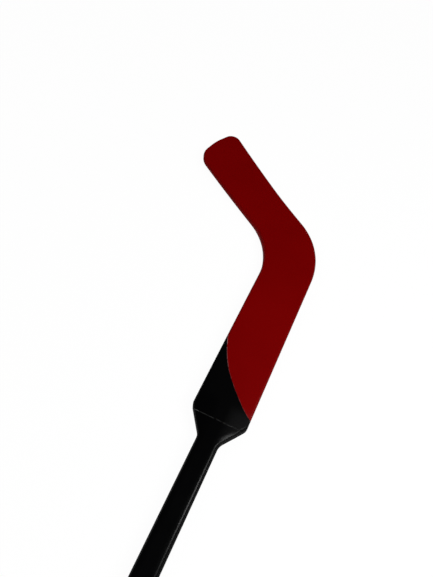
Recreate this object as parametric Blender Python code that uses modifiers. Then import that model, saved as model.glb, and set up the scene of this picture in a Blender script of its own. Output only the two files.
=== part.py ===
"""Ice hockey goalie stick: a foam-core paddle and blade bonded into a hollow, flared shaft.

The stick lies on its back. +X runs along the shaft from the butt to the heel, +Y points to
the side that the blade turns to, and +Z stands out of the playing face. The origin is on the
flat back, where the shaft's centre line crosses the line through the paddle's two shoulders.
"""
import math

import bmesh
import bpy
from mathutils import Matrix, Vector

# Paddle, in metres
PADDLE_WIDTH = 0.0815
PADDLE_LENGTH = 0.3345
BODY_THICKNESS = 0.020
SHOULDER_RADIUS = 0.013

# Blade: lengths run along its bottom edge from the sharp heel corner
BLADE_ANGLE = math.radians(52.7)
BLADE_LENGTH = 0.313
BLADE_HEIGHT_AT_HEEL = 0.0695
BLADE_HEIGHT_AT_TOE = 0.089
BLADE_THICKNESS = 0.012
THINNING_START = -0.033
THINNING_LENGTH = 0.196
CURVE_START = 0.078
CURVE_DEPTH = 0.0115
HEEL_RADIUS = 0.140
CROOK_RADIUS = 0.121

# Toe: its end leans back towards the heel as it rises, and bulges in a flat curve
TOE_SLANT = math.radians(14.5)
TOE_BULGE = 0.006
TOE_CURVE_RADIUS = 0.090
TOE_TOP_RADIUS = 0.0315
TOE_BOTTOM_RADIUS = 0.018

# Moulded face shells of paddle and blade
SKIN = 0.0016
EDGE_RADIUS = 0.0035

# Shaft, its flare and the joint line to the paddle
SHAFT_LENGTH = 0.720
SHAFT_WIDTH = 0.0317
SHAFT_WALL = 0.002
SHAFT_CORNER = 0.005
FLARE_LENGTH = 0.034
FLARE_FILLET = 0.0195
JOINT_SETBACK = 0.004
BEAD_WIDTH = 0.0008

# Plug in the butt end
PLUG_HEAD = 0.006
PLUG_ROUNDING = 0.002
PLUG_SPIGOT = 0.025

# Stiffeners and strips inside
TENON_GRIP = 0.110
TENON_REACH = 0.050
SCARF_LENGTH = 0.036
EDGE_STRIP_WIDTH = 0.004
BLADE_RIB_WIDTH = 0.009

# Clearance between pieces that touch
GAP = 0.0003

# Steps of the outline around the stick, and of the round edges
FLARE_STEPS = 8
SLOPE_STEPS = 6
SHOULDER_STEPS = 5
PADDLE_STEPS = 5
CROOK_STEPS = 12
HEEL_STEPS = 8
BLADE_STEPS = 8
TOE_STEPS = 8
TOE_CURVE_STEPS = 2
EDGE_STEPS = 4
CORNER_STEPS = 5
HEEL_BLOCK_COLUMNS = 4

# Rows across paddle and blade, counted from the joint, where inner pieces end and begin
CROOK_ROW = 1 + SHOULDER_STEPS + PADDLE_STEPS
STRIP_SPLIT_ROW = CROOK_ROW + CROOK_STEPS // 3
HEEL_BLOCK_START_ROW = CROOK_ROW + CROOK_STEPS // 4
HEEL_BLOCK_END_ROW = CROOK_ROW + CROOK_STEPS - CROOK_STEPS // 4
TOE_ROW = CROOK_ROW + CROOK_STEPS + BLADE_STEPS

# Straight edges of the outline, counted from the shaft's toe side
TOE_SIDE_SLOPE = 1
BLADE_TOP = 3
BLADE_SOLE = 6
HEEL_SIDE_SLOPE = 8

# Long edges of the stick, as they are counted across a row
TOE_SIDE, HEEL_SIDE = 0, 1

SHAFT_AXIS_HEIGHT = BODY_THICKNESS / 2
HEEL_CORNER = Vector((PADDLE_LENGTH, -PADDLE_WIDTH / 2))
BLADE_DIRECTION = Vector((math.cos(BLADE_ANGLE), math.sin(BLADE_ANGLE)))

# What fits in the shaft's bore, and distances from the outside to what lies in the shells
BORE_HALF_WIDTH = SHAFT_WIDTH / 2 - SHAFT_WALL - GAP
BORE_HALF_HEIGHT = BODY_THICKNESS / 2 - SHAFT_WALL - GAP
BORE_CORNER = SHAFT_CORNER - SHAFT_WALL
INNER_FACE = SKIN + GAP
CHAMFER_INSET = EDGE_RADIUS + GAP
CORE_INSET = INNER_FACE + EDGE_STRIP_WIDTH + GAP


def turned_right(direction):
    """The direction a quarter turn to the right, seen from above."""
    return Vector((direction.y, -direction.x))


def crossing(point_a, direction_a, point_b, direction_b):
    """The point where two lines cross."""
    across = direction_a.cross(direction_b)
    return point_a + direction_a * ((point_b - point_a).cross(direction_b) / across)


def at_x(line, x):
    """The point of a sloping line at a given x."""
    point, direction = line
    return point + direction * ((x - point.x) / direction.x)


def between(start, end, steps):
    """The points inside a straight stretch that is cut into equal steps."""
    return [start.lerp(end, step / steps) for step in range(1, steps)]


def sharp_corners():
    """Corners of the outline before rounding: down the toe side, round the toe and back."""
    out_of_sole = turned_right(BLADE_DIRECTION)
    slant = BLADE_HEIGHT_AT_TOE * math.tan(TOE_SLANT)
    toe_bottom = HEEL_CORNER + BLADE_DIRECTION * BLADE_LENGTH
    toe_top = toe_bottom - BLADE_DIRECTION * slant - out_of_sole * BLADE_HEIGHT_AT_TOE
    toe_middle = toe_bottom.lerp(toe_top, 0.5) + BLADE_DIRECTION * TOE_BULGE
    top_at_heel = HEEL_CORNER - out_of_sole * BLADE_HEIGHT_AT_HEEL
    butt, neck = -SHAFT_LENGTH, -FLARE_LENGTH
    shoulder = Vector((0, PADDLE_WIDTH / 2))
    crook = crossing(shoulder, Vector((1, 0)), top_at_heel, toe_top - top_at_heel)
    toe_side = [Vector((butt, SHAFT_WIDTH / 2)), Vector((neck, SHAFT_WIDTH / 2)), shoulder, crook]
    heel_side = [HEEL_CORNER, Vector((0, -PADDLE_WIDTH / 2)), Vector((neck, -SHAFT_WIDTH / 2))]
    return toe_side + [toe_top, toe_middle, toe_bottom] + heel_side


def rounded(corner, before, after, radius, inset, steps):
    """Points of the arc that rounds a corner, concentric with the outline's own arc."""
    turn = math.atan2(before.cross(after), before.dot(after))
    bulges_out = turn < 0
    size = max(radius - inset, GAP) if bulges_out else radius + inset
    start = corner - before * (size * math.tan(abs(turn) / 2))
    towards_centre = turned_right(before) if bulges_out else -turned_right(before)
    centre = start + towards_centre * size
    arm = start - centre
    return [centre + Matrix.Rotation(turn * step / steps, 2) @ arm for step in range(steps + 1)]


def inset_outline(inset):
    """Rounded corners and straight edges of the outline, set in from its rim."""
    corners = sharp_corners()
    edges = []
    for start, end in zip(corners, corners[1:]):
        direction = (end - start).normalized()
        edges.append((start + turned_right(direction) * inset, direction))
    radii = [FLARE_FILLET, SHOULDER_RADIUS, CROOK_RADIUS, TOE_TOP_RADIUS, TOE_CURVE_RADIUS]
    radii += [TOE_BOTTOM_RADIUS, HEEL_RADIUS, SHOULDER_RADIUS]
    steps = [FLARE_STEPS, SHOULDER_STEPS, CROOK_STEPS, TOE_STEPS, TOE_CURVE_STEPS]
    steps += [TOE_STEPS, HEEL_STEPS, SHOULDER_STEPS]
    arcs = []
    for before, after, radius, count in zip(edges, edges[1:], radii, steps):
        corner = crossing(*before, *after)
        arcs.append(rounded(corner, before[1], after[1], radius, inset, count))
    return arcs, edges


JOINT_X = inset_outline(0)[0][1][0].x - JOINT_SETBACK
SHAFT_STOP = JOINT_X - BEAD_WIDTH / 2 - GAP
PADDLE_START = JOINT_X + BEAD_WIDTH / 2 + GAP


def paddle_edges(inset, start=PADDLE_START):
    """Toe-side edge, toe end and heel-side edge of paddle and blade, set in by inset.

    Both side edges run from the joint to the toe and have the same number of points, so that
    the points with the same number face each other across the stick.
    """
    arcs, edges = inset_outline(inset)
    _, shoulder, crook, toe_top, toe_curve, toe_bottom, heel, heel_side_shoulder = arcs
    half_toe = TOE_STEPS // 2

    toe_side = [at_x(edges[TOE_SIDE_SLOPE], start)] + shoulder
    toe_side += between(shoulder[-1], crook[0], PADDLE_STEPS) + crook
    toe_side += between(crook[-1], toe_top[0], BLADE_STEPS) + toe_top[:half_toe + 1]

    toe = toe_top[half_toe:] + toe_curve + toe_bottom[:half_toe + 1]

    for arc in (heel_side_shoulder, heel, toe_bottom):
        arc.reverse()
    sole_point, sole_direction = edges[BLADE_SOLE]
    facing_crook_start = Vector((crook[0].x, heel_side_shoulder[-1].y))
    along_sole = (crook[-1] - sole_point).dot(sole_direction)
    facing_crook_end = sole_point + sole_direction * along_sole
    heel_side = [at_x(edges[HEEL_SIDE_SLOPE], start)] + heel_side_shoulder
    heel_side += between(heel_side_shoulder[-1], facing_crook_start, PADDLE_STEPS)
    heel_side += [facing_crook_start] + heel
    heel_side += between(heel[-1], facing_crook_end, CROOK_STEPS - HEEL_STEPS - 1)
    heel_side += [facing_crook_end] + between(facing_crook_end, toe_bottom[0], BLADE_STEPS)
    heel_side += toe_bottom[:half_toe + 1]
    return toe_side, toe, heel_side


def face_rows(inset, start=PADDLE_START):
    """Rows of points across the face, from the joint to the toe, where they follow its curve."""
    toe_side, toe, heel_side = paddle_edges(inset, start)
    toe_start, chord = toe_side[-1], heel_side[-1] - toe_side[-1]
    shares = [(point - toe_start).dot(chord) / chord.length_squared for point in toe]
    bulges = [point - (toe_start + chord * share) for point, share in zip(toe, shares)]
    rounded_rows = TOE_STEPS // 2 + 1
    rows = []
    for number, (left, right) in enumerate(zip(toe_side, heel_side)):
        bend = max(0, (number - TOE_ROW + 1) / rounded_rows) ** 2
        rows.append([left.lerp(right, share) + bulge * bend for share, bulge in zip(shares, bulges)])
    return rows


def facing_points(inset):
    """Pairs of points across the stick, set in by inset, up to the straight rib at the toe."""
    _, edges = inset_outline(inset)
    rims, _, heel_side_rim = paddle_edges(0)
    rib = (rims[TOE_ROW], heel_side_rim[TOE_ROW] - rims[TOE_ROW])
    toe_side, _, heel_side = paddle_edges(inset)
    pairs = list(zip(toe_side, heel_side))[:TOE_ROW]
    return pairs + [(crossing(*rib, *edges[BLADE_TOP]), crossing(*rib, *edges[BLADE_SOLE]))]


def thickness(point):
    """Thickness of paddle or blade at a point of the face: it thins smoothly past the heel."""
    along = (point - HEEL_CORNER).dot(BLADE_DIRECTION)
    share = min(max((along - THINNING_START) / THINNING_LENGTH, 0), 1)
    smooth = share * share * (3 - 2 * share)
    return BODY_THICKNESS + (BLADE_THICKNESS - BODY_THICKNESS) * smooth


def back_height(point):
    """Height of the back face: flat to the heel, then rising as the blade curves to the toe."""
    along = (point - HEEL_CORNER).dot(BLADE_DIRECTION)
    share = max(along - CURVE_START, 0) / (BLADE_LENGTH - CURVE_START)
    return CURVE_DEPTH * share * share


def raised(point, depth, side):
    """A point in space, sunk by depth below the front (side 1) or back (side -1) face."""
    half = thickness(point) / 2
    return Vector((point.x, point.y, back_height(point) + half + side * (half - depth)))


def bridge(bm, first, second):
    """Quads between two rows of vertices with the same number of points."""
    for a, b, c, d in zip(first, first[1:], second[1:], second):
        bm.faces.new((a, b, c, d))


def add_piece(name, bm, finish, parent):
    """One named object from a mesh, with its faces pointing out."""
    bmesh.ops.recalc_face_normals(bm, faces=bm.faces)
    mesh = bpy.data.meshes.new(name)
    bm.to_mesh(mesh)
    bm.free()
    mesh.materials.append(finish)
    mesh.shade_smooth()
    mesh.set_sharp_from_angle(angle=math.radians(30))
    piece = bpy.data.objects.new(name, mesh)
    piece.parent = parent
    STICK.objects.link(piece)
    return piece


def loft(sections, capped=True):
    """Mesh through closed sections with the same number of points."""
    bm = bmesh.new()
    loops = [[bm.verts.new(point) for point in section] for section in sections]
    for first, second in zip(loops, loops[1:]):
        bridge(bm, first + first[:1], second + second[:1])
    if capped:
        bm.faces.new(loops[0])
        bm.faces.new(loops[-1])
    return bm


def thicken(piece, wall):
    """Gives an open outer surface its wall, on the inside."""
    solidify = piece.modifiers.new("wall", "SOLIDIFY")
    solidify.thickness = wall
    solidify.offset = -1
    solidify.use_even_offset = True


def cut_square(piece, name, start, end):
    """Cuts a piece off square to the shaft between two places along it."""
    bm = bmesh.new()
    size = (end - start, 2 * PADDLE_WIDTH, 2 * BODY_THICKNESS)
    bmesh.ops.create_cube(bm, size=1)
    bmesh.ops.scale(bm, vec=size, verts=bm.verts)
    bmesh.ops.translate(bm, vec=((start + end) / 2, 0, 0), verts=bm.verts)
    mesh = bpy.data.meshes.new(name)
    bm.to_mesh(mesh)
    bm.free()
    cutter = bpy.data.objects.new(name, mesh)
    cutter.parent = SHAFT_AXIS
    cutter.hide_render = True
    cutter.display_type = "WIRE"
    CUTTERS.objects.link(cutter)
    cut = piece.modifiers.new("square_end", "BOOLEAN")
    cut.operation = "DIFFERENCE"
    cut.object = cutter


def rounded_rectangle(x, half_width, half_height, corner):
    """Section across the shaft at x, with rounded corners."""
    section = []
    for quarter, (side_y, side_z) in enumerate(((1, 1), (-1, 1), (-1, -1), (1, -1))):
        for step in range(CORNER_STEPS + 1):
            angle = math.pi / 2 * (quarter + step / CORNER_STEPS)
            y = side_y * (half_width - corner) + corner * math.cos(angle)
            z = side_z * (half_height - corner) + corner * math.sin(angle)
            section.append(Vector((x, y, z)))
    return section


def flare_stations(inset, end):
    """X, half width and corner radius along the flare, for a surface set in by inset."""
    sides = []
    for side_inset in (0, inset):
        arcs, edges = inset_outline(side_inset)
        neck, last = arcs[0], at_x(edges[TOE_SIDE_SLOPE], end)
        sides.append(neck + between(neck[-1], last, SLOPE_STEPS) + [last])
    rim, line = sides
    stations = []
    for outer, point in zip(rim, line):
        share = min((outer.x - rim[0].x) / (JOINT_X - rim[0].x), 1)
        corner = SHAFT_CORNER + (EDGE_RADIUS - SHAFT_CORNER) * share
        stations.append((point.x, point.y, max(corner - inset, GAP)))
    return stations


def build_shaft_shell():
    """Hollow shaft and shoulder socket, moulded in one and cut square at the joint."""
    half_height = BODY_THICKNESS / 2
    sections = [rounded_rectangle(-SHAFT_LENGTH, SHAFT_WIDTH / 2, half_height, SHAFT_CORNER)]
    for x, half_width, corner in flare_stations(0, JOINT_X):
        sections.append(rounded_rectangle(x, half_width, half_height, corner))
    shell = add_piece("shaft_shell", loft(sections, capped=False), BLACK_COMPOSITE, SHAFT_AXIS)
    thicken(shell, SHAFT_WALL)
    cut_square(shell, "socket_end_cutter", SHAFT_STOP, SHAFT_STOP + FLARE_LENGTH)


def build_joint_bead():
    """Filler in the joint between the shoulder socket and the paddle."""
    _, edges = inset_outline(0)
    bm = bmesh.new()
    loops = []
    ends = (JOINT_X - BEAD_WIDTH / 2, JOINT_X + BEAD_WIDTH / 2)
    for x, inset in ((ends[0], 0), (ends[1], 0), (ends[1], SHAFT_WALL), (ends[0], SHAFT_WALL)):
        half_width = at_x(edges[TOE_SIDE_SLOPE], x).y - inset
        corner = max(EDGE_RADIUS - inset, GAP)
        section = rounded_rectangle(x, half_width, BODY_THICKNESS / 2 - inset, corner)
        loops.append([bm.verts.new(point) for point in section])
    for first, second in zip(loops, loops[1:] + loops[:1]):
        bridge(bm, first + first[:1], second + second[:1])
    add_piece("shoulder_joint_bead", bm, GREY_FILLER, SHAFT_AXIS)


def build_butt_plug():
    """Moulded plug: a head flush with the shaft, and a spigot in its bore."""
    head_end = -SHAFT_LENGTH - GAP
    half_width, half_height = SHAFT_WIDTH / 2, BODY_THICKNESS / 2
    sections = []
    for step in range(EDGE_STEPS + 1):
        angle = math.pi / 2 * step / EDGE_STEPS
        inset = PLUG_ROUNDING * (1 - math.sin(angle))
        x = head_end - PLUG_HEAD + PLUG_ROUNDING * (1 - math.cos(angle))
        corner = SHAFT_CORNER - inset
        sections.append(rounded_rectangle(x, half_width - inset, half_height - inset, corner))
    sections.append(rounded_rectangle(head_end, half_width, half_height, SHAFT_CORNER))
    for x in (head_end, -SHAFT_LENGTH + PLUG_SPIGOT):
        sections.append(rounded_rectangle(x, BORE_HALF_WIDTH, BORE_HALF_HEIGHT, BORE_CORNER))
    add_piece("butt_plug", loft(sections), BLACK_RUBBER, SHAFT_AXIS)


def scarf_x(height, clearance):
    """X of the slanting glue face between tenon and spine, at a height above the shaft's axis."""
    return TENON_REACH + SCARF_LENGTH * height / BODY_THICKNESS + clearance


def build_shaft_tenon():
    """Stub in the shaft's bore that carries the paddle, with a slanting glue face."""
    stub = rounded_rectangle(-TENON_GRIP, BORE_HALF_WIDTH, BORE_HALF_HEIGHT, BORE_CORNER)
    glue_face = [Vector((scarf_x(point.z, -GAP / 2), point.y, point.z)) for point in stub]
    add_piece("shaft_tenon", loft([stub, glue_face]), WOOD, SHAFT_AXIS)


def build_shoulder_core(name, edge):
    """Foam in the flare, between the tenon and the sloping wall."""
    side = 1 if edge == TOE_SIDE else -1
    inset = SHAFT_WALL + GAP
    inner_y = BORE_HALF_WIDTH + GAP
    half_height = BODY_THICKNESS / 2 - inset
    sections = []
    for x, outer_y, corner in flare_stations(inset, SHAFT_STOP):
        if outer_y - corner < inner_y + SHAFT_WALL:
            continue
        profile = [(inner_y, half_height)]
        for quarter, side_z in ((1, 1), (0, -1)):
            for step in range(CORNER_STEPS + 1):
                angle = math.pi / 2 * (quarter - step / CORNER_STEPS)
                y = outer_y - corner + corner * math.cos(angle)
                profile.append((y, side_z * (half_height - corner) + corner * math.sin(angle)))
        profile.append((inner_y, -half_height))
        sections.append([Vector((x, side * y, z)) for y, z in profile])
    add_piece(name, loft(sections), FOAM, SHAFT_AXIS)


def build_shell(name, side):
    """Half shell of paddle and blade: face, rounded edge and rim, down to the parting line."""
    bm = bmesh.new()
    overhang = 2 * SKIN
    start = PADDLE_START - overhang
    rings = []
    for step in range(-1, EDGE_STEPS):
        angle = math.pi / 2 * max(step, 0) / EDGE_STEPS
        inset = EDGE_RADIUS * (1 - math.cos(angle))
        toe_side, toe, heel_side = paddle_edges(inset, start)
        ring = []
        for point in toe_side + toe[1:-1] + heel_side[::-1]:
            parting_depth = (thickness(point) - GAP) / 2
            depth = parting_depth if step < 0 else EDGE_RADIUS * (1 - math.sin(angle))
            ring.append(bm.verts.new(raised(point, depth, side)))
        rings.append(ring)
    rows = face_rows(EDGE_RADIUS, start)
    face = [[bm.verts.new(raised(point, 0, side)) for point in row] for row in rows]
    face_edge = [row[0] for row in face] + face[-1][1:-1] + [row[-1] for row in face[::-1]]
    for first, second in zip(rings, rings[1:] + [face_edge]):
        bridge(bm, first, second)
    for first, second in zip(face, face[1:]):
        bridge(bm, first, second)
    shell = add_piece(name, bm, RED_COMPOSITE, STICK_FRAME)
    thicken(shell, SKIN)
    cut_square(shell, name + "_end_cutter", PADDLE_START - FLARE_LENGTH, PADDLE_START)


def drawn_in(rows):
    """Rows with the first and last one moved inwards, to clear the next piece."""
    first = [a + (b - a).normalized() * (GAP / 2) for a, b in zip(rows[0], rows[1])]
    last = [a + (b - a).normalized() * (GAP / 2) for a, b in zip(rows[-1], rows[-2])]
    return [first] + rows[1:-1] + [last]


def skin_to_skin(row):
    """Section of a piece that fills the cavity above a row of points."""
    top = [raised(point, INNER_FACE, 1) for point in row]
    bottom = [raised(point, INNER_FACE, -1) for point in row]
    return top + bottom[::-1]


def add_filling(name, rows, finish):
    """A piece that fills the cavity from skin to skin."""
    add_piece(name, loft([skin_to_skin(row) for row in drawn_in(rows)]), finish, STICK_FRAME)


def build_edge_strip(name, edge, start_row, end_row):
    """Hard strip along one edge, chamfered to clear the rounding inside the shells."""
    lines = []
    for inset in (INNER_FACE, CHAMFER_INSET, INNER_FACE + EDGE_STRIP_WIDTH):
        lines.append([pair[edge] for pair in facing_points(inset)[start_row:end_row + 1]])
    sections = []
    for outer, shoulder, inner in drawn_in(list(zip(*lines))):
        section = [raised(outer, CHAMFER_INSET, 1), raised(shoulder, INNER_FACE, 1)]
        section += [raised(inner, INNER_FACE, 1), raised(inner, INNER_FACE, -1)]
        section += [raised(shoulder, INNER_FACE, -1), raised(outer, CHAMFER_INSET, -1)]
        sections.append(section)
    add_piece(name, loft(sections), HARD_STRIP, STICK_FRAME)


def stiffener_rows(start_row, end_row, half_width):
    """Rows across a stiffener along the middle of paddle or blade."""
    rows = []
    for toe_side, heel_side in facing_points(CORE_INSET)[start_row:end_row + 1]:
        middle = toe_side.lerp(heel_side, 0.5)
        across = (heel_side - toe_side).normalized()
        rows.append([middle - across * half_width, middle + across * half_width])
    return rows


def build_core(name, edge, start_row, end_row, stiffener_half_width):
    """Foam between the stiffener and the strip along one edge."""
    stiffener = stiffener_rows(start_row, end_row, stiffener_half_width + GAP)
    pairs = facing_points(CORE_INSET)[start_row:end_row + 1]
    rows = []
    for pair, row in zip(pairs, stiffener):
        rows.append([pair[edge], pair[edge].lerp(row[edge], 0.5), row[edge]])
    add_filling(name, rows, FOAM)


def build_paddle_spine():
    """Stiffener from the tenon's slanting glue face to the heel block."""
    half_height = BODY_THICKNESS / 2 - INNER_FACE
    glue_face = []
    for side_y, side_z in ((1, 1), (-1, 1), (-1, -1), (1, -1)):
        x = scarf_x(side_z * half_height, GAP / 2)
        z = SHAFT_AXIS_HEIGHT + side_z * half_height
        glue_face.append(Vector((x, side_y * BORE_HALF_WIDTH, z)))
    rows = drawn_in(stiffener_rows(0, HEEL_BLOCK_START_ROW, BORE_HALF_WIDTH))
    past_scarf = [row for row in rows if row[0].x > TENON_REACH + SCARF_LENGTH]
    sections = [glue_face] + [skin_to_skin(row) for row in past_scarf]
    add_piece("paddle_spine", loft(sections), WOOD, STICK_FRAME)


def build_heel_block():
    """Dense block across the whole cavity where paddle and blade meet."""
    rows = []
    pairs = facing_points(CORE_INSET)[HEEL_BLOCK_START_ROW:HEEL_BLOCK_END_ROW + 1]
    for toe_side, heel_side in pairs:
        rows.append([toe_side] + between(toe_side, heel_side, HEEL_BLOCK_COLUMNS) + [heel_side])
    add_filling("heel_block", rows, DENSE_FOAM)


def build_toe_insert():
    """Dense insert that fills the rounded toe from rim to rim."""
    edges = []
    for inset in (INNER_FACE, CHAMFER_INSET):
        toe_side, toe, heel_side = paddle_edges(inset)
        first, last = facing_points(inset)[TOE_ROW]
        toe_side = [first] + toe_side[TOE_ROW + 1:]
        heel_side = [last] + heel_side[TOE_ROW + 1:]
        for side in (toe_side, heel_side):
            side[0] = side[0] + (side[1] - side[0]).normalized() * (GAP / 2)
        edges.append((toe_side, toe, heel_side))
    (rim_left, rim_toe, rim_right), (face_left, _, face_right) = edges
    rows = face_rows(CHAMFER_INSET)[TOE_ROW:]
    columns = len(rows[0]) - 1
    rows[0] = [face_left[0]] + between(face_left[0], face_right[0], columns) + [face_right[0]]

    bm = bmesh.new()
    ends = []
    for side in (1, -1):
        face = [[bm.verts.new(raised(point, INNER_FACE, side)) for point in row] for row in rows]
        rim_points = rim_left + rim_toe[1:-1] + rim_right[::-1]
        rim = [bm.verts.new(raised(point, CHAMFER_INSET, side)) for point in rim_points]
        face_edge = [row[0] for row in face] + face[-1][1:-1] + [row[-1] for row in face[::-1]]
        bridge(bm, rim, face_edge)
        for first, second in zip(face, face[1:]):
            bridge(bm, first, second)
        ends.append((rim, [rim[0]] + face[0] + [rim[-1]]))
    (front_rim, front_end), (back_rim, back_end) = ends
    bridge(bm, front_rim, back_rim)
    bm.faces.new(front_end + back_end[::-1])
    add_piece("toe_insert", bm, DENSE_FOAM, STICK_FRAME)


def material(name, colour, roughness):
    """Plain finish of one kind of piece."""
    finish = bpy.data.materials.new(name)
    finish.use_nodes = True
    shader = finish.node_tree.nodes["Principled BSDF"]
    shader.inputs["Base Color"].default_value = (*colour, 1)
    shader.inputs["Roughness"].default_value = roughness
    shader.inputs["Metallic"].default_value = 0
    finish.diffuse_color = (*colour, 1)
    return finish


def collection(name):
    """A collection in the scene."""
    group = bpy.data.collections.new(name)
    bpy.context.scene.collection.children.link(group)
    return group


def empty(name, height):
    """An empty on the stick's centre line, above the back by height."""
    marker = bpy.data.objects.new(name, None)
    marker.location.z = height
    STICK.objects.link(marker)
    return marker


for old in list(bpy.data.objects):
    bpy.data.objects.remove(old, do_unlink=True)

STICK = collection("goalie_stick")
CUTTERS = collection("cutters")
STICK_FRAME = empty("stick_frame", 0)
SHAFT_AXIS = empty("shaft_axis", SHAFT_AXIS_HEIGHT)

BLACK_COMPOSITE = material("black_composite", (0.004, 0.004, 0.005), 0.35)
RED_COMPOSITE = material("red_composite", (0.14, 0.001, 0.002), 0.45)
GREY_FILLER = material("grey_filler", (0.08, 0.08, 0.078), 0.6)
BLACK_RUBBER = material("black_rubber", (0.012, 0.012, 0.012), 0.7)
WOOD = material("ash_wood", (0.55, 0.38, 0.20), 0.6)
FOAM = material("core_foam", (0.80, 0.74, 0.58), 0.9)
DENSE_FOAM = material("dense_foam", (0.60, 0.50, 0.32), 0.85)
HARD_STRIP = material("hard_strip", (0.08, 0.08, 0.09), 0.5)

build_butt_plug()
build_shaft_shell()
build_shaft_tenon()
build_joint_bead()
build_shell("front_shell", 1)
build_shell("back_shell", -1)
build_paddle_spine()
build_heel_block()
build_toe_insert()
for edge, side in ((TOE_SIDE, "toe_side"), (HEEL_SIDE, "heel_side")):
    build_shoulder_core("shoulder_core_" + side, edge)
    build_core("paddle_core_" + side, edge, 0, HEEL_BLOCK_START_ROW, BORE_HALF_WIDTH)
    build_edge_strip("paddle_edge_strip_" + side, edge, 0, STRIP_SPLIT_ROW)

blade_rib = stiffener_rows(HEEL_BLOCK_END_ROW, TOE_ROW, BLADE_RIB_WIDTH / 2)
add_filling("blade_rib", blade_rib, WOOD)
for edge, core, strip in ((TOE_SIDE, "upper", "top"), (HEEL_SIDE, "lower", "sole")):
    build_core("blade_core_" + core, edge, HEEL_BLOCK_END_ROW, TOE_ROW, BLADE_RIB_WIDTH / 2)
    build_edge_strip("blade_" + strip + "_strip", edge, STRIP_SPLIT_ROW, TOE_ROW)
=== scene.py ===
import math

import bmesh
import bpy
from mathutils import Matrix, Vector


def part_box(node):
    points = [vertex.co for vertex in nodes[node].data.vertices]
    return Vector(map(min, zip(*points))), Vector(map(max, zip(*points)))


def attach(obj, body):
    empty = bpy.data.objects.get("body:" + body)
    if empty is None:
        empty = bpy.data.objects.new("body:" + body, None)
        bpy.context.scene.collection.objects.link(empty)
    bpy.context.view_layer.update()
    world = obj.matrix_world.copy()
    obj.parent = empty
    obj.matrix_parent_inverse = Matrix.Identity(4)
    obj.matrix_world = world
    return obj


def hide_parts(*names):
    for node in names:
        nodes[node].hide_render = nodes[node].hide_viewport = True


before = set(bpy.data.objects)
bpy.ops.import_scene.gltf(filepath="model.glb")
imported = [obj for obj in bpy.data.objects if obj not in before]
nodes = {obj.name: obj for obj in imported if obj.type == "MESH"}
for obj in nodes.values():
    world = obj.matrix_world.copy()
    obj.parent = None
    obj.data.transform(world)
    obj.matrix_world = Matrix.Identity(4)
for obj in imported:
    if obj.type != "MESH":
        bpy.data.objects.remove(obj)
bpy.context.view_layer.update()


# Shaft and shoulder socket: one hollow tube of carbon and glass cloth with rounded corners,
# which flares out to the paddle's width between softly bevelled edges. It comes out of the
# mould in one piece, is sanded, and is sprayed with black satin lacquer.

shaft_low, shaft_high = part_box("shaft_shell")
BODY_THICKNESS = 0.020
SHAFT_WIDTH = 0.0317
SHAFT_WALL = 0.002
SHAFT_CORNER = 0.005
FLARE_CREASE = 0.002
PADDLE_WIDTH = 0.0815
FLARE_LENGTH = 0.034
FLARE_FILLET = 0.0195
EDGE_RADIUS = 0.0035
BEVEL_REACH = 0.0062
BEVEL_SLOPE = 0.165
LEAST_BEVEL_SLOPE = 0.001
ROUND_STEPS = 8
NECK_STEPS = 16
SLOPE_STEPS = 10
EDGE_HOLD = 0.0002
SHARP_ANGLE = math.radians(30)
slope_angle = math.atan2((PADDLE_WIDTH - SHAFT_WIDTH) / 2, FLARE_LENGTH)

BLACK = (0.0008, 0.0008, 0.0009)
BLACK_DUSTY = (0.0018, 0.0018, 0.0020)
LACQUER_SPECULAR = 0.085
SHAFT_ROUGHNESS = 0.28
HANDLING_WAVES = 11
HANDLED_PATCHES = (0.35, 0.75)
HANDLING_ROUGHNESS = 0.04
SHAFT_DUST_WAVES = 950
DUST_GRAINS = (0.80, 0.86)
DUST_COVER = 0.5
CHIP_PLACE = (-0.0214, -0.0232, 0.0195)
CHIP_SIZE = 0.0011
CHIP_ROUGHNESS = 0.4
CHIP_BLACK = (0.0, 0.0, 0.0)
CROWN_START = 0.006
CROWN_SLOPE = 0.245
CROWN_TURN = 0.008
CROWN_FADE = (0.010, 0.030)
PEEL_WAVES = 620
PEEL_DEPTH = 0.0000025
SANDING_WAVES = 34
SANDING_DEPTH = 0.00002
WORN_STEEPNESS = (0.2, 0.6)
EDGE_WEAR = 0.72


class Socket:
    """An output of a finish's nodes. Arithmetic on it adds the Math nodes that work it out."""

    def __init__(self, tree, output=None):
        self.tree = tree
        self.output = output

    def node(self, kind, settings, inputs, output=0):
        """Adds a node: its settings first, then the values or links of its sockets."""
        made = self.tree.nodes.new(kind)
        for name, setting in settings.items():
            setattr(made, name, setting)
        for name, value in inputs.items():
            if isinstance(value, Socket):
                self.tree.links.new(value.output, made.inputs[name])
            else:
                made.inputs[name].default_value = value
        return Socket(self.tree, made.outputs[output])

    def maths(self, operation, *values):
        """A Math node on the given values, in their order."""
        return self.node("ShaderNodeMath", {"operation": operation}, dict(enumerate(values)))

    def __add__(self, other):
        return self.maths("ADD", self, other)

    __radd__ = __add__

    def __sub__(self, other):
        return self.maths("SUBTRACT", self, other)

    def __rsub__(self, other):
        return self.maths("SUBTRACT", other, self)

    def __mul__(self, other):
        return self.maths("MULTIPLY", self, other)

    __rmul__ = __mul__

    def __truediv__(self, other):
        return self.maths("DIVIDE", self, other)

    def __rtruediv__(self, other):
        return self.maths("DIVIDE", other, self)

    def up_from(self, start, end):
        """0 below start and 1 above end, with a soft step between them."""
        limits = {"Value": self, "From Min": start, "From Max": end}
        return self.node("ShaderNodeMapRange", {"interpolation_type": "SMOOTHSTEP"}, limits)


def new_finish(name, specular):
    """A material with its shader, and the object coordinates that its pattern reads."""
    made = bpy.data.materials.new(name)
    made.use_nodes = True
    tree = made.node_tree
    shader = tree.nodes["Principled BSDF"]
    shader.inputs["Specular IOR Level"].default_value = specular
    place = Socket(tree).node("ShaderNodeTexCoord", {}, {}, "Object")
    return made, shader, place


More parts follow.
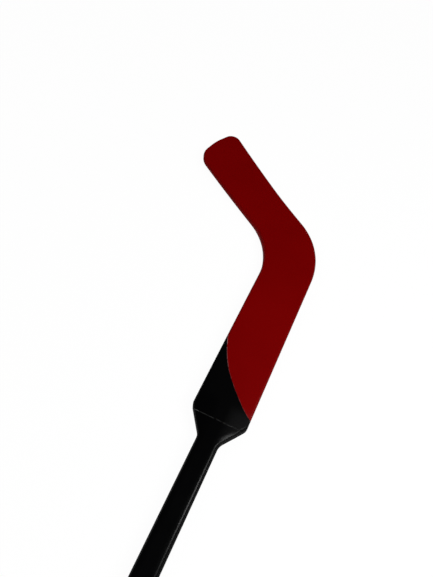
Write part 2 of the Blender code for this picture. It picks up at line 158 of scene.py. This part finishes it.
def set_socket(shader, name, value):
    """Feeds one socket of a finish's shader."""
    value.tree.links.new(value.output, shader.inputs[name])


def noise(place, scale, detail=2.0):
    """Cloudy pattern from 0 to 1; scale is its waves per metre."""
    inputs = {"Vector": place, "Scale": scale, "Detail": detail}
    return place.node("ShaderNodeTexNoise", {}, inputs, "Fac")


def blend(share, first, second):
    """First colour where share is 0, second where it is 1."""
    settings = {"data_type": "RGBA", "clamp_factor": True}
    inputs = {0: share}
    for index, colour in ((6, first), (7, second)):
        inputs[index] = colour if isinstance(colour, Socket) else (*colour, 1)
    return share.node("ShaderNodeMix", settings, inputs, 2)


def distance_to(place, spot):
    """Distance from a spot on the stick."""
    inputs = {0: place, 1: spot}
    return place.node("ShaderNodeVectorMath", {"operation": "DISTANCE"}, inputs, "Value")


def lacquer_relief(place):
    """Normal of sprayed lacquer: orange peel, shallow waves from sanding, and a soft crown.

    The crown makes the light fall off softly on both sides of a flat middle, on the shaft and
    the shoulder. It fades out where the paddle begins.
    """
    x = place.node("ShaderNodeSeparateXYZ", {}, {0: place}, "X")
    y = place.node("ShaderNodeSeparateXYZ", {}, {0: place}, "Y")
    off_middle = y.maths("ABSOLUTE", y) - CROWN_START
    off_middle = off_middle.maths("MAXIMUM", off_middle, 0)
    turned = 1 - off_middle.maths("EXPONENT", off_middle * (-1 / CROWN_TURN))
    crown = (off_middle - turned * CROWN_TURN) * CROWN_SLOPE
    fades_out = 1 - x.up_from(*CROWN_FADE)
    inputs = {"Height": 0 - crown, "Distance": 1.0, "Strength": fades_out}
    crowned = place.node("ShaderNodeBump", {}, inputs, "Normal")
    peel = noise(place, PEEL_WAVES) * PEEL_DEPTH + noise(place, SANDING_WAVES, 1) * SANDING_DEPTH
    inputs = {"Height": peel, "Distance": 1.0, "Strength": 1.0, "Normal": crowned}
    return place.node("ShaderNodeBump", {}, inputs, "Normal")


def edge_wear(place):
    """Extra roughness of the side walls, which get rubbed dull; 0 on the faces."""
    steep = place.node("ShaderNodeAttribute", {"attribute_name": "steepness"}, {}, "Fac")
    return steep.up_from(*WORN_STEEPNESS) * EDGE_WEAR


def turned_right(direction):
    """The direction a quarter turn to the right, seen from above."""
    return Vector((direction.y, -direction.x, 0))


def draw_to(bm, tip, place):
    """Draws an outline on from its tip, in a straight line."""
    made = bmesh.ops.extrude_vert_indiv(bm, verts=[tip])["verts"][0]
    bmesh.ops.translate(bm, verts=[made], vec=place - made.co)
    return made


def round_corner(bm, tip, corner, after, radius, steps):
    """Draws an outline on to a corner and round it, ready to go on towards after."""
    before, onward = (corner - tip.co).normalized(), (after - corner).normalized()
    turn = math.atan2(before.xy.cross(onward.xy), before.xy.dot(onward.xy))
    start = corner - before * (radius * math.tan(abs(turn) / 2))
    centre = start - turned_right(before) * math.copysign(radius, turn)
    tip = draw_to(bm, tip, start - before * EDGE_HOLD)
    tip = draw_to(bm, tip, start)
    swept = bmesh.ops.spin(bm, geom=[tip], cent=centre, axis=(0, 0, 1), angle=turn, steps=steps,
                           use_merge=False)
    tip = [vert for vert in swept["geom_last"] if isinstance(vert, bmesh.types.BMVert)][0]
    return draw_to(bm, tip, tip.co + onward * EDGE_HOLD)


def rounded_section(bm, x, half_width, corner, slope=None):
    """Edges of a rounded rectangle that stands square across the stick.

    With a slope, each face ends in a wide soft bevel of that slope before it turns the corner.
    """
    before = set(bm.verts)
    half_height = BODY_THICKNESS / 2
    quarter = [(half_width, half_height, corner)]
    if slope:
        bend = (BEVEL_REACH - corner - 3 * EDGE_HOLD) / math.tan(math.atan(slope) / 2)
        quarter = [(half_width - BEVEL_REACH, half_height, bend),
                   (half_width, half_height - BEVEL_REACH * slope, corner)]
    turns = []
    for side, end, order in ((1, -1, 1), (1, 1, -1), (-1, 1, 1), (-1, -1, -1)):
        turns += [(Vector((y * side, z * end, 0)), radius) for y, z, radius in quarter[::order]]
    first = tip = bm.verts.new((0, -half_height, 0))
    onward = [place for place, _ in turns[1:]] + [first.co]
    for (place, radius), after in zip(turns, onward):
        tip = round_corner(bm, tip, place, after, radius, ROUND_STEPS)
    bm.edges.new((tip, first))
    verts = [vert for vert in bm.verts if vert not in before]
    upright = Matrix(((0, 0, 1), (1, 0, 0), (0, 1, 0)))
    bmesh.ops.rotate(bm, cent=(0, 0, 0), matrix=upright, verts=verts)
    bmesh.ops.translate(bm, vec=(x, 0, half_height), verts=verts)
    return list({edge for vert in verts for edge in vert.link_edges})


def finished(name, bm, finish):
    """The object made from a mesh: smooth, but for its sharp edges.

    Its attribute steepness is 0 where the mesh lies flat and 1 where it stands upright.
    """
    bm.normal_update()
    steepness = bm.verts.layers.float.new("steepness")
    for vert in bm.verts:
        vert[steepness] = 1 - abs(vert.normal.z)
    mesh = bpy.data.meshes.new(name)
    bm.to_mesh(mesh)
    bm.free()
    mesh.shade_smooth()
    mesh.set_sharp_from_angle(angle=SHARP_ANGLE)
    mesh.materials.append(finish)
    piece = bpy.data.objects.new(name, mesh)
    bpy.context.scene.collection.objects.link(piece)
    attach(piece, "root")
    return piece


neck_start = -FLARE_LENGTH - FLARE_FILLET * math.tan(slope_angle / 2)
stations = [(shaft_low.x, SHAFT_WIDTH / 2)]
for step in range(NECK_STEPS + 1):
    angle = slope_angle * step / NECK_STEPS
    rise = FLARE_FILLET * (1 - math.cos(angle))
    stations.append((neck_start + FLARE_FILLET * math.sin(angle), SHAFT_WIDTH / 2 + rise))
neck_end_x, neck_end_y = stations[-1]
for step in range(1, SLOPE_STEPS + 1):
    x = neck_end_x + (shaft_high.x - neck_end_x) * step / SLOPE_STEPS
    stations.append((x, neck_end_y + (x - neck_end_x) * math.tan(slope_angle)))

bm = bmesh.new()
sections = []
for x, half_width in stations:
    share = max(x - neck_start, 0) / (shaft_high.x - neck_start)
    corner = SHAFT_CORNER + (EDGE_RADIUS - SHAFT_CORNER) * share
    corner -= FLARE_CREASE * math.sin(math.pi * share)
    slope = BEVEL_SLOPE * math.sin(math.pi * share) ** 2 + LEAST_BEVEL_SLOPE
    sections.append(rounded_section(bm, x, half_width, corner, slope))
for first, second in zip(sections, sections[1:]):
    bmesh.ops.bridge_loops(bm, edges=first + second)
bmesh.ops.recalc_face_normals(bm, faces=bm.faces)
bmesh.ops.solidify(bm, geom=bm.faces[:], thickness=SHAFT_WALL)

shaft_black, shader, place = new_finish("black_satin_lacquer", LACQUER_SPECULAR)
chip = 1 - distance_to(place, CHIP_PLACE).up_from(CHIP_SIZE * 0.6, CHIP_SIZE)
handling = noise(place, HANDLING_WAVES, 4).up_from(*HANDLED_PATCHES)
dust = noise(place, SHAFT_DUST_WAVES, 0).up_from(*DUST_GRAINS)
lacquer = blend(handling * 0.5 + dust * DUST_COVER, BLACK, BLACK_DUSTY)
roughness = SHAFT_ROUGHNESS + handling * HANDLING_ROUGHNESS + chip * CHIP_ROUGHNESS
set_socket(shader, "Base Color", blend(chip, lacquer, CHIP_BLACK))
set_socket(shader, "Roughness", roughness + edge_wear(place))
set_socket(shader, "Normal", lacquer_relief(place))
shaft = finished("shaft_and_socket", bm, shaft_black)
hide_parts("shaft_shell")


# Joint bead: a thin band of filler in the butt joint between the shoulder socket and the
# paddle. It is wiped flush and thinly lacquered over, so it shows as a fine broken grey line.

bead_low, bead_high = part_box("shoulder_joint_bead")
BEAD_OVERLAP = 0.0001
BEAD_GREY = (0.105, 0.108, 0.105)
BEAD_ROUGHNESS = 0.32
BARE_ROUGHNESS = 0.4
BARE_EDGE = 0.0001
BARE_BREAK_WAVES = 221
BARE_BREAKS = (0.36, 0.50)
BARE_SHARE = 0.30
BARE_START = (-0.040, -0.020)
MORE_BARE_SHARE = 0.50
MORE_BARE_START = (0.022, 0.030)

bm = bmesh.new()
sections = []
for x in (bead_low.x - BEAD_OVERLAP, bead_high.x + BEAD_OVERLAP):
    half_width = PADDLE_WIDTH / 2 + x * math.tan(slope_angle)
    sections.append(rounded_section(bm, x, half_width, EDGE_RADIUS))
bmesh.ops.bridge_loops(bm, edges=sections[0] + sections[1])
bmesh.ops.recalc_face_normals(bm, faces=bm.faces)
bmesh.ops.solidify(bm, geom=bm.faces[:], thickness=SHAFT_WALL)

bead_filler, shader, place = new_finish("grey_joint_filler", LACQUER_SPECULAR)
x = place.node("ShaderNodeSeparateXYZ", {}, {0: place}, "X")
y = place.node("ShaderNodeSeparateXYZ", {}, {0: place}, "Y")
bead_middle = (bead_low.x + bead_high.x) / 2
bare = x.up_from(bead_middle - BARE_EDGE, bead_middle + BARE_EDGE)
bare = bare * noise(place, BARE_BREAK_WAVES, 3).up_from(*BARE_BREAKS)
share = BARE_SHARE * y.up_from(*BARE_START) + MORE_BARE_SHARE * y.up_from(*MORE_BARE_START)
bare = bare * share
set_socket(shader, "Base Color", blend(bare, BLACK, BEAD_GREY))
set_socket(shader, "Roughness", BEAD_ROUGHNESS + bare * BARE_ROUGHNESS + edge_wear(place))
set_socket(shader, "Normal", lacquer_relief(place))
bead = finished("joint_bead", bm, bead_filler)
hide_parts("shoulder_joint_bead")


# Butt plug: a black moulded rubber cap. Its head lies flush with the shaft and is slightly
# domed, and its spigot is glued into the bore.

plug_low, plug_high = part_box("butt_plug")
PLUG_HEAD = 0.006
PLUG_DOME = 0.002
PLUG_CLEARANCE = 0.0003
PLUG_STEPS = 6
CAP_MARGIN = 0.0012
RUBBER = (0.010, 0.010, 0.010)
RUBBER_SCUFFED = (0.022, 0.021, 0.020)
RUBBER_ROUGHNESS = 0.58
PLAIN_SPECULAR = 0.3
SCUFF_WAVES = 240
SCUFFED_PATCHES = (0.5, 0.75)
GRAIN_WAVES = 1500
GRAIN_DEPTH = 0.00002

bm = bmesh.new()
head_end = plug_low.x + PLUG_HEAD
spigot_shrink = SHAFT_WALL + PLUG_CLEARANCE
profile = []
for step in range(PLUG_STEPS + 1):
    angle = math.pi / 2 * step / PLUG_STEPS
    inset = PLUG_DOME * (1 - math.sin(angle))
    profile.append((plug_low.x + PLUG_DOME * (1 - math.cos(angle)), inset))
profile += [(head_end, 0), (head_end, spigot_shrink), (plug_high.x, spigot_shrink)]
sections = []
for x, inset in profile:
    section = rounded_section(bm, 0, SHAFT_WIDTH / 2, SHAFT_CORNER)
    verts = list({vert for edge in section for vert in edge.verts})
    shrink = (1, 1 - 2 * inset / SHAFT_WIDTH, 1 - 2 * inset / BODY_THICKNESS)
    about_axis = Matrix.Translation((0, 0, -BODY_THICKNESS / 2))
    bmesh.ops.scale(bm, vec=shrink, space=about_axis, verts=verts)
    bmesh.ops.translate(bm, vec=(x, 0, 0), verts=verts)
    sections.append(section)
for first, second in zip(sections, sections[1:]):
    bmesh.ops.bridge_loops(bm, edges=first + second)
for section in (sections[0], sections[-1]):
    cap = bmesh.ops.contextual_create(bm, geom=section)["faces"]
    bmesh.ops.inset_region(bm, faces=cap, thickness=CAP_MARGIN, depth=0.0)
bmesh.ops.recalc_face_normals(bm, faces=bm.faces)

plug_rubber, shader, place = new_finish("black_moulded_rubber", PLAIN_SPECULAR)
scuff = noise(place, SCUFF_WAVES, 5)
scuffed = scuff.up_from(*SCUFFED_PATCHES)
set_socket(shader, "Base Color", blend(scuffed, RUBBER, RUBBER_SCUFFED))
set_socket(shader, "Roughness", RUBBER_ROUGHNESS + scuff * 0.25)
grain = {"Height": noise(place, GRAIN_WAVES, 3) * GRAIN_DEPTH, "Distance": 1.0, "Strength": 1.0}
set_socket(shader, "Normal", place.node("ShaderNodeBump", {}, grain, "Normal"))
plug = finished("butt_cap", bm, plug_rubber)
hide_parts("butt_plug")


# Face shells of paddle and blade: two moulded skins of glass and carbon cloth, bonded round
# the core at mid-thickness and rounded at the edge. They are lacquered red up to a curved
# line, where the black of the shaft sweeps in from the shoulder.

shell_low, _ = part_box("front_shell")
PADDLE_LENGTH = 0.3345
SHOULDER_RADIUS = 0.013
BLADE_ANGLE = math.radians(52.7)
BLADE_LENGTH = 0.313
BLADE_HEIGHT_AT_HEEL = 0.0695
BLADE_HEIGHT_AT_TOE = 0.089
BLADE_THICKNESS = 0.012
THINNING_START = -0.033
THINNING_LENGTH = 0.196
CURVE_START = 0.078
CURVE_DEPTH = 0.0115
HEEL_RADIUS = 0.140
CROOK_RADIUS = 0.121
TOE_SLANT = math.radians(14.5)
TOE_BULGE = 0.006
TOE_CURVE_RADIUS = 0.090
TOE_TOP_RADIUS = 0.0315
TOE_BOTTOM_RADIUS = 0.018
SKIN = 0.0016
ROW_SPACING = 0.006
ARC_SPACING = 0.005
RIM_MARGIN = 0.0006
CUT_SNAP = 0.00001

RED = (0.135, 0.0002, 0.0003)
RED_LIGHTER = (0.147, 0.0003, 0.0004)
CLOUD_WAVES = 9
PADDLE_DUST_WAVES = 800
SHELL_ROUGHNESS = 0.33
CLOUD_ROUGHNESS = 0.06
BACK_GRIME = 0.03
SPLIT_CURVE = (3702, 153.7, 4.945, 1.067, 0.0468)
SPLIT_EDGE = 0.0004
STRIPE = (0.200, 0.100, 0.105)
STRIPE_EDGE = (0.0002, 0.0006)
STRIPE_WIDENING = 2
WIDER_FROM = (-0.010, 0.038)
STRIPE_BREAK_WAVES = 281
STRIPE_BREAKS = (0.35, 0.60)
STRIPE_LEAST = 0.20
STRIPE_GAINS = ((0.15, 0.012, 0.022), (0.65, 0.031, 0.037))
SPECK = (0.30, 0.06, 0.06)
SPECK_PLACE = (0.4026, 0.1501, 0.020)
SPECK_EDGE = (0.0005, 0.0012)


def crossing(point_a, direction_a, point_b, direction_b):
    """The point where two lines in the plane cross."""
    across = direction_a.xy.cross(direction_b.xy)
    return point_a + direction_a * ((point_b - point_a).xy.cross(direction_b.xy) / across)


heel_corner = Vector((PADDLE_LENGTH, -PADDLE_WIDTH / 2, 0))
along_sole = Vector((math.cos(BLADE_ANGLE), math.sin(BLADE_ANGLE), 0))
out_of_sole = turned_right(along_sole)
toe_bottom = heel_corner + along_sole * BLADE_LENGTH
slant = BLADE_HEIGHT_AT_TOE * math.tan(TOE_SLANT)
toe_top = toe_bottom - along_sole * slant - out_of_sole * BLADE_HEIGHT_AT_TOE
toe_middle = (toe_bottom + toe_top) / 2 + along_sole * TOE_BULGE
top_at_heel = heel_corner - out_of_sole * BLADE_HEIGHT_AT_HEEL
shoulder = Vector((0, PADDLE_WIDTH / 2, 0))
crook = crossing(shoulder, Vector((1, 0, 0)), top_at_heel, toe_top - top_at_heel)
overhang_x = shell_low.x - 2 * SKIN
start_place = Vector((overhang_x, PADDLE_WIDTH / 2 + overhang_x * math.tan(slope_angle), 0))
end_place = Vector((start_place.x, -start_place.y, 0))
heel_side_shoulder = Vector((0, -PADDLE_WIDTH / 2, 0))
corners = [(shoulder, SHOULDER_RADIUS), (crook, CROOK_RADIUS), (toe_top, TOE_TOP_RADIUS),
           (toe_middle, TOE_CURVE_RADIUS), (toe_bottom, TOE_BOTTOM_RADIUS),
           (heel_corner, HEEL_RADIUS), (heel_side_shoulder, SHOULDER_RADIUS)]


def distance_along(place):
    """Distance along the bottom edge, from the sharp heel corner."""
    return (place - heel_corner).xy.dot(along_sole.xy)


def settled(place):
    """Where a point of the flat, even slab lies once the blade is thinned and curved."""
    along = distance_along(place)
    share = min(max((along - THINNING_START) / THINNING_LENGTH, 0), 1)
    thickness = BODY_THICKNESS
    thickness += (BLADE_THICKNESS - BODY_THICKNESS) * share * share * (3 - 2 * share)
    rise = CURVE_DEPTH * (max(along - CURVE_START, 0) / (BLADE_LENGTH - CURVE_START)) ** 2
    from_middle = place.z - BODY_THICKNESS / 2
    wall = BODY_THICKNESS / 2 - EDGE_RADIUS
    if abs(from_middle) > wall:
        lost = (BODY_THICKNESS - thickness) / 2
        from_middle -= math.copysign(lost, from_middle)
    else:
        from_middle *= (thickness / 2 - EDGE_RADIUS) / wall
    return Vector((place.x, place.y, rise + thickness / 2 + from_middle))


def face_shell(front):
    """Mesh of one face shell, from a slab that is rounded, cut in half and laid in its curve."""
    bm = bmesh.new()
    first = tip = bm.verts.new(start_place)
    onward = [corner for corner, _ in corners[1:]] + [end_place]
    for (corner, radius), after in zip(corners, onward):
        steps = ROUND_STEPS + round(radius / ARC_SPACING)
        tip = round_corner(bm, tip, corner, after, radius, steps)
    tip = draw_to(bm, tip, end_place)
    bm.edges.new((tip, first))
    slab = bmesh.ops.contextual_create(bm, geom=bm.edges[:])["faces"]
    raised = bmesh.ops.extrude_face_region(bm, geom=slab)["geom"]
    lifted = [vert for vert in raised if isinstance(vert, bmesh.types.BMVert)]
    bmesh.ops.translate(bm, vec=(0, 0, BODY_THICKNESS), verts=lifted)
    bmesh.ops.recalc_face_normals(bm, faces=bm.faces)

    flat = [face for face in bm.faces if abs(face.normal.z) > 0.9]
    rims = list({edge for face in flat for edge in face.edges})
    bmesh.ops.bevel(bm, geom=rims, offset=EDGE_RADIUS, offset_type="OFFSET", segments=ROUND_STEPS,
                    profile=0.5, affect="EDGES", clamp_overlap=True, material=-1)
    flat = [face for face in bm.faces if abs(face.normal.z) > 0.999]
    bmesh.ops.inset_region(bm, faces=flat, thickness=RIM_MARGIN, use_even_offset=True)

    cuts = [(Vector((shell_low.x, 0, 0)), Vector((-1, 0, 0)), True)]
    middle = Vector((0, 0, BODY_THICKNESS / 2))
    cuts.append((middle, Vector((0, 0, -1 if front else 1)), True))
    rows = round((BLADE_LENGTH - THINNING_START) / ROW_SPACING)
    for row in range(rows):
        row_place = heel_corner + along_sole * (THINNING_START + ROW_SPACING * row)
        cuts.append((row_place, along_sole, False))
    for place, direction, clear in cuts:
        geom = bm.verts[:] + bm.edges[:] + bm.faces[:]
        bmesh.ops.bisect_plane(bm, geom=geom, dist=CUT_SNAP, plane_co=place, plane_no=direction,
                               clear_outer=clear)
    for vert in bm.verts:
        vert.co = settled(vert.co)
    bmesh.ops.solidify(bm, geom=bm.faces[:], thickness=SKIN)
    return bm


def lacquered(name, grime):
    """Red lacquer with the black shoulder, a hairline stripe between them, and fine specks."""
    made, shader, place = new_finish(name, LACQUER_SPECULAR)
    x = place.node("ShaderNodeSeparateXYZ", {}, {0: place}, "X")
    y = place.node("ShaderNodeSeparateXYZ", {}, {0: place}, "Y")
    across = y.maths("MINIMUM", y, PADDLE_WIDTH / 2)
    split_x = SPLIT_CURVE[0]
    for term in SPLIT_CURVE[1:]:
        split_x = split_x * across + term
    past_line = x - split_x
    red_side = past_line.up_from(-SPLIT_EDGE, SPLIT_EDGE)
    wider = 1 + y.up_from(*WIDER_FROM) * STRIPE_WIDENING
    off_line = past_line.maths("ABSOLUTE", past_line) / wider
    breaks = noise(place, STRIPE_BREAK_WAVES, 3).up_from(*STRIPE_BREAKS)
    shown = STRIPE_LEAST
    for gain, start, end in STRIPE_GAINS:
        shown = shown + gain * y.up_from(start, end)
    stripe = (1 - off_line.up_from(*STRIPE_EDGE)) * breaks * shown

    cloud = noise(place, CLOUD_WAVES, 3)
    speck = 1 - distance_to(place, SPECK_PLACE).up_from(*SPECK_EDGE)
    dust = noise(place, PADDLE_DUST_WAVES, 0).up_from(*DUST_GRAINS)
    red = blend(cloud.up_from(0.3, 0.7), RED, RED_LIGHTER)
    red = blend(speck * 0.35, red, SPECK)
    black = blend(dust * DUST_COVER, BLACK, BLACK_DUSTY)
    paint = blend(stripe, blend(red_side, black, red), STRIPE)
    roughness = SHELL_ROUGHNESS + cloud * CLOUD_ROUGHNESS + grime
    set_socket(shader, "Base Color", paint)
    set_socket(shader, "Roughness", roughness + edge_wear(place))
    set_socket(shader, "Normal", lacquer_relief(place))
    return made


for front, name in ((True, "front_shell"), (False, "back_shell")):
    finish = lacquered(name.split("_")[0] + "_lacquer", 0.0 if front else BACK_GRIME)
    shell = finished(name.replace("shell", "skin"), face_shell(front), finish)
    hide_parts(name)


# Stiffeners inside: sawn ash, with the grain along each piece. They are glued in and never
# show unless the stick is cut open.

ASH_PALE = (0.58, 0.41, 0.22)
ASH_RING = (0.44, 0.28, 0.13)
ASH_PORE = (0.30, 0.18, 0.08)
ASH_ROUGHNESS = 0.52
ALONG_GRAIN = (0.12, 1.0, 1.0)
RING_WAVES = 95
PORE_WAVES = 420
PORE_DEPTH = 0.00012

ash, shader, place = new_finish("sawn_ash", PLAIN_SPECULAR)
stretch = {"Vector": place, "Scale": ALONG_GRAIN}
grain_place = place.node("ShaderNodeMapping", {}, stretch, "Vector")
grain = noise(grain_place, PORE_WAVES, 5)
ring = noise(grain_place, RING_WAVES, 2).up_from(0.35, 0.65)
pale_wood = blend(ring, ASH_PALE, ASH_RING)
set_socket(shader, "Base Color", blend(grain.up_from(0.55, 0.75), pale_wood, ASH_PORE))
set_socket(shader, "Roughness", ASH_ROUGHNESS + grain * 0.2)
pores = {"Height": grain * PORE_DEPTH, "Distance": 1.0, "Strength": 0.8}
set_socket(shader, "Normal", place.node("ShaderNodeBump", {}, pores, "Normal"))
for name in ("shaft_tenon", "paddle_spine", "blade_rib"):
    nodes[name].material_slots[0].material = ash


# Cores inside: rigid foam in paddle, blade and flare, and a denser one in the heel and toe,
# where pucks hit hardest. Both are cut from sheet, so their cells show at the surface.

LIGHT_FOAM = (0.80, 0.74, 0.58)
LIGHT_FOAM_PAINTED_SHADE = (0.68, 0.61, 0.45)
LIGHT_FOAM_CELLS = 900
DENSE_FOAM = (0.60, 0.50, 0.32)
DENSE_FOAM_PAINTED_SHADE = (0.48, 0.38, 0.22)
DENSE_FOAM_CELLS = 1600
FOAM_ROUGHNESS = 0.9
FOAM_SPECULAR = 0.1
CELL_DEPTH = 0.4


def foam(name, colour, painted_shade, cells):
    """Rigid foam of cut cells, with painted shade in the grooves between them; cells is their
    number per metre.
    """
    made, shader, place = new_finish(name, FOAM_SPECULAR)
    shader.inputs["Roughness"].default_value = FOAM_ROUGHNESS
    edges = {"Vector": place, "Scale": cells}
    wall = place.node("ShaderNodeTexVoronoi", {}, edges, "Distance")
    # The darker tone lies in the grooves between the cells, where the bump sinks lowest: it is
    # painted shade.
    set_socket(shader, "Base Color", blend(wall.up_from(0.1, 0.6), colour, painted_shade))
    pits = {"Height": wall * (-CELL_DEPTH / cells), "Distance": 1.0, "Strength": 0.7}
    set_socket(shader, "Normal", place.node("ShaderNodeBump", {}, pits, "Normal"))
    return made


light_foam = foam("light_foam", LIGHT_FOAM, LIGHT_FOAM_PAINTED_SHADE, LIGHT_FOAM_CELLS)
dense_foam = foam("dense_foam", DENSE_FOAM, DENSE_FOAM_PAINTED_SHADE, DENSE_FOAM_CELLS)
for name in ("shoulder_core_toe_side", "shoulder_core_heel_side", "paddle_core_toe_side",
             "paddle_core_heel_side", "blade_core_upper", "blade_core_lower"):
    nodes[name].material_slots[0].material = light_foam
for name in ("heel_block", "toe_insert"):
    nodes[name].material_slots[0].material = dense_foam


# Edge strips inside: hard strips of resin filled with short fibres, bonded along the edges
# of paddle and blade, so that the rims stand up to the ice and the posts.

RESIN = (0.06, 0.06, 0.07)
FIBRE = (0.15, 0.15, 0.16)
STRIP_ROUGHNESS = 0.4
FIBRE_WAVES = 1300
ACROSS_FIBRES = (0.3, 0.3, 2.0)

strip, shader, place = new_finish("fibre_filled_strip", PLAIN_SPECULAR)
stretch = {"Vector": place, "Scale": ACROSS_FIBRES}
fibres = noise(place.node("ShaderNodeMapping", {}, stretch, "Vector"), FIBRE_WAVES, 4)
set_socket(shader, "Base Color", blend(fibres.up_from(0.45, 0.7), RESIN, FIBRE))
set_socket(shader, "Roughness", STRIP_ROUGHNESS + fibres * 0.25)
for name in ("paddle_edge_strip_toe_side", "paddle_edge_strip_heel_side", "blade_top_strip",
             "blade_sole_strip"):
    nodes[name].material_slots[0].material = strip


# Floor: a wide, matt white sheet that the stick lies on. To the camera it is white, and
# keeps only a trace of the stick's shadow.

FLOOR_SIZE = 24.0
FLOOR_GAP = 0.0004
FLOOR_WHITE = (0.95, 0.95, 0.95, 1)
PURE_WHITE = (1, 1, 1, 1)
SHOWN_WHITE = 0.96

bm = bmesh.new()
bmesh.ops.create_grid(bm, x_segments=1, y_segments=1, size=FLOOR_SIZE / 2)
bmesh.ops.translate(bm, vec=(0, 0, -FLOOR_GAP), verts=bm.verts)
floor_mesh = bpy.data.meshes.new("floor")
bm.to_mesh(floor_mesh)
bm.free()
floor = bpy.data.objects.new("floor", floor_mesh)
bpy.context.scene.collection.objects.link(floor)

floor_white = bpy.data.materials.new("floor_white")
floor_white.use_nodes = True
tree = floor_white.node_tree
tree.nodes.clear()
rays = Socket(tree).node("ShaderNodeLightPath", {}, {}, "Is Camera Ray")
seen = rays + Socket(tree, rays.output.node.outputs["Is Glossy Ray"])
seen = seen + Socket(tree, rays.output.node.outputs["Is Transmission Ray"])
matt = rays.node("ShaderNodeBsdfDiffuse", {}, {"Color": FLOOR_WHITE}, "BSDF")
white = rays.node("ShaderNodeEmission", {}, {"Color": PURE_WHITE, "Strength": 1.0}, "Emission")
share = seen.maths("MINIMUM", seen, 1) * SHOWN_WHITE
mixed = rays.node("ShaderNodeMixShader", {}, {0: share, 1: matt, 2: white}, "Shader")
out = tree.nodes.new("ShaderNodeOutputMaterial")
tree.links.new(mixed.output, out.inputs["Surface"])
floor_mesh.materials.append(floor_white)


# Studio: a white surround with a dark ceiling, so that the lacquer keeps its depth. Four
# large softboxes stand round the stick and light its colours evenly, screened so that they
# leave no reflections. A narrow one draws the highlight along the right side of the shaft.

CEILING_START = 0.03
CEILING_DARK = 0.99
STRIP_SIZE = (0.12, 0.57)
STRIP_PLACE = (0.02, -0.63, 0.81)
STRIP_TARGET = (-0.13, -0.012, 0.02)
STRIP_POWER = 6.6
FILL_SIZE = (1.6, 1.6)
FILLS = (("fill_rear", (-2.0, 0.0, 1.9), 21), ("fill_left", (0.0, 2.0, 1.9), 20),
         ("fill_right", (0.0, -2.0, 1.9), 18), ("fill_front", (2.0, 0.0, 1.9), 18))

world = bpy.data.worlds.new("studio")
bpy.context.scene.world = world
world.use_nodes = True
world.cycles.sampling_method = "NONE"
tree = world.node_tree
tree.nodes.clear()
rays = Socket(tree).node("ShaderNodeLightPath", {}, {}, "Is Camera Ray")
seen = rays + Socket(tree, rays.output.node.outputs["Is Transmission Ray"])
glossy = Socket(tree, rays.output.node.outputs["Is Glossy Ray"])
direction = Socket(tree).node("ShaderNodeTexCoord", {}, {}, "Generated")
height = direction.node("ShaderNodeSeparateXYZ", {}, {0: direction}, "Z")
strength = seen + glossy * (1 - height.up_from(0.0, CEILING_START) * CEILING_DARK)
inputs = {"Color": PURE_WHITE, "Strength": strength}
background = rays.node("ShaderNodeBackground", {}, inputs, "Background")
out = tree.nodes.new("ShaderNodeOutputWorld")
tree.links.new(background.output, out.inputs["Surface"])


def soft_lamp(name, place, target, size, power):
    """A softbox that faces its target; size is its width and height."""
    data = bpy.data.lights.new(name, "AREA")
    data.shape = "RECTANGLE"
    data.size, data.size_y = size
    data.energy = power
    lamp = bpy.data.objects.new(name, data)
    lamp.location = place
    lamp.rotation_euler = (Vector(target) - Vector(place)).to_track_quat("-Z", "Y").to_euler()
    bpy.context.scene.collection.objects.link(lamp)
    return lamp


soft_lamp("strip_softbox", STRIP_PLACE, STRIP_TARGET, STRIP_SIZE, STRIP_POWER)
for name, place, power in FILLS:
    fill = soft_lamp(name, place, (0.0, 0.0, 0.0), FILL_SIZE, power)
    fill.visible_glossy = False
    fill.data.cycles.use_multiple_importance_sampling = False


# Camera: it stands above the shaft and looks down along the stick at the blade, from the
# photograph's viewing angle. Its lens is in millimetres on a frame 36 mm high.

CAMERA_PLACE = (-0.22231, -0.04197, 0.67427)
CAMERA_RIGHT = (0.41964, -0.90435, 0.07781)
CAMERA_UP = (0.74564, 0.39234, 0.53859)
CAMERA_BACK = (-0.51761, -0.168, 0.83896)
CAMERA_FRAME = 36
CAMERA_LENS = 31.196

camera_data = bpy.data.cameras.new("camera")
camera_data.sensor_width = CAMERA_FRAME
camera_data.lens = CAMERA_LENS
camera_data.clip_start = 0.02
camera = bpy.data.objects.new("camera", camera_data)
turned = Matrix((CAMERA_RIGHT, CAMERA_UP, CAMERA_BACK)).transposed()
camera.matrix_world = Matrix.Translation(CAMERA_PLACE) @ turned.to_4x4()
bpy.context.scene.collection.objects.link(camera)
bpy.context.scene.camera = camera
bpy.context.scene.view_settings.view_transform = "Standard"
